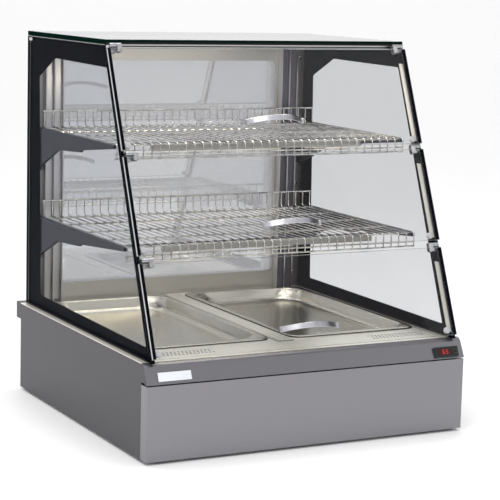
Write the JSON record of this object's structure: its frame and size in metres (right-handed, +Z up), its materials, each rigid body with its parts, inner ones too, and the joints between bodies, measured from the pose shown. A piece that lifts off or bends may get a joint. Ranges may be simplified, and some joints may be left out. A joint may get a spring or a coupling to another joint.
{
  "type": "hot food display case",
  "caption": "Heated countertop glass display case with stacked sloping front flaps, wire shelves, food pans and a rear door.",
  "frame": {"origin": "middle of the overall footprint, on the surface the feet stand on", "axes": "+X to the case's right seen from the front, +Y to the rear, +Z up; the sloping flaps face -Y"},
  "size_m": [0.78, 0.7964, 0.862],
  "materials": {
    "stainless": "brushed",
    "chrome": "polished",
    "shelf_wire": "bright plated",
    "charcoal": "satin",
    "clear_glass": "clear, with dark printed borders",
    "tinted_glass": "bluish, reflective",
    "foot_rubber": "matt",
    "black_plastic": "matt",
    "key_plastic": "satin",
    "gloss_black": "gloss",
    "alloy": "satin anodised",
    "element_sheath": "heat-darkened"
  },
  "bodies": {
    "case": {"base_cabinet": "stainless", "cable_gland": "black_plastic", "centre_grille": "stainless", "deck": "stainless", "fan_housing": "black_plastic", "fascia": "stainless", "foot_front_left": "foot_rubber", "foot_front_right": "foot_rubber", "foot_rear_left": "foot_rubber", "foot_rear_right": "foot_rubber", "front_panel": "stainless", "front_tie_bar": "alloy", "heater_left": "element_sheath", "heater_right": "element_sheath", "heater_support": "stainless", "hinge_knuckle_lower_left": "chrome", "hinge_knuckle_lower_right": "chrome", "hinge_knuckle_middle_left": "chrome", "hinge_knuckle_middle_right": "chrome", "hinge_knuckle_upper_left": "chrome", "hinge_knuckle_upper_right": "chrome", "main_switch_housing": "black_plastic", "rear_frame": "stainless", "rear_ledge": "stainless", "rear_post_left": "stainless", "rear_post_right": "stainless", "shelf_carrier_lower": "charcoal", "shelf_carrier_upper": "charcoal", "shelf_lamp_lower": "charcoal", "shelf_lamp_upper": "charcoal", "side_glass_left": "clear_glass", "side_glass_right": "clear_glass", "thermostat_body": "gloss_black", "top_glass": "clear_glass"},
    "flap_upper": {"flap_upper_clamp_left": "chrome", "flap_upper_clamp_right": "chrome", "flap_upper_glass": "clear_glass", "flap_upper_handle": "chrome"},
    "flap_middle": {"flap_middle_clamp_left": "chrome", "flap_middle_clamp_right": "chrome", "flap_middle_glass": "clear_glass", "flap_middle_handle": "chrome"},
    "flap_lower": {"flap_lower_clamp_left": "chrome", "flap_lower_clamp_right": "chrome", "flap_lower_glass": "clear_glass", "flap_lower_handle": "chrome"},
    "rear_door": {"rear_door_glass": "tinted_glass", "rear_door_handle": "chrome", "rear_door_hinge_lower": "chrome", "rear_door_hinge_upper": "chrome"},
    "pan_left": {"pan_left": "stainless"},
    "pan_right": {"pan_right": "stainless"},
    "shelf_upper": {"shelf_upper": "shelf_wire"},
    "shelf_lower": {"shelf_lower": "shelf_wire"},
    "key_1": {"thermostat_key_1": "key_plastic"},
    "key_2": {"thermostat_key_2": "key_plastic"},
    "key_3": {"thermostat_key_3": "key_plastic"},
    "key_4": {"thermostat_key_4": "key_plastic"},
    "switch_rocker": {"main_switch_rocker": "gloss_black"},
    "fan_rotor": {"fan_impeller": "black_plastic"}
  },
  "joints": [
    {"name": "flap_upper_hinge", "type": "hinge", "parent": "case", "child": "flap_upper", "pos_m": [0, -0.11409, 0.8503], "axis": [-1, 0, 0], "range_deg": [0, 75]},
    {"name": "flap_middle_hinge", "type": "hinge", "parent": "case", "child": "flap_middle", "pos_m": [0, -0.20775, 0.6273], "axis": [-1, 0, 0], "range_deg": [0, 75]},
    {"name": "flap_lower_hinge", "type": "hinge", "parent": "case", "child": "flap_lower", "pos_m": [0, -0.29763, 0.4133], "axis": [-1, 0, 0], "range_deg": [0, 75]},
    {"name": "rear_door_hinge", "type": "hinge", "parent": "case", "child": "rear_door", "pos_m": [0.346, 0.36925, 0.521], "axis": [0, 0, -1], "range_deg": [0, 110]},
    {"name": "pan_left_lift", "type": "slide", "parent": "case", "child": "pan_left", "axis": [0, 0, 1], "range_m": [0, 0.1]},
    {"name": "pan_right_lift", "type": "slide", "parent": "case", "child": "pan_right", "axis": [0, 0, 1], "range_m": [0, 0.1]},
    {"name": "shelf_upper_lift", "type": "slide", "parent": "case", "child": "shelf_upper", "axis": [0, 0, 1], "range_m": [0, 0.03]},
    {"name": "shelf_lower_lift", "type": "slide", "parent": "case", "child": "shelf_lower", "axis": [0, 0, 1], "range_m": [0, 0.03]},
    {"name": "key_1_press", "type": "slide", "parent": "case", "child": "key_1", "axis": [0, 0.9176, -0.3975], "range_m": [0, 0.0008], "stiffness_N_per_m": 400},
    {"name": "key_2_press", "type": "slide", "parent": "case", "child": "key_2", "axis": [0, 0.9176, -0.3975], "range_m": [0, 0.0008], "stiffness_N_per_m": 400},
    {"name": "key_3_press", "type": "slide", "parent": "case", "child": "key_3", "axis": [0, 0.9176, -0.3975], "range_m": [0, 0.0008], "stiffness_N_per_m": 400},
    {"name": "key_4_press", "type": "slide", "parent": "case", "child": "key_4", "axis": [0, 0.9176, -0.3975], "range_m": [0, 0.0008], "stiffness_N_per_m": 400},
    {"name": "switch_rocker_tilt", "type": "hinge", "parent": "case", "child": "switch_rocker", "pos_m": [0.23, 0.35025, 0.06], "axis": [1, 0, 0], "range_deg": [0, 16]},
    {"name": "fan_spin", "type": "hinge", "parent": "case", "child": "fan_rotor", "pos_m": [0, -0.01075, 0.0268], "axis": [0, 0, 1], "continuous": true}
  ]
}
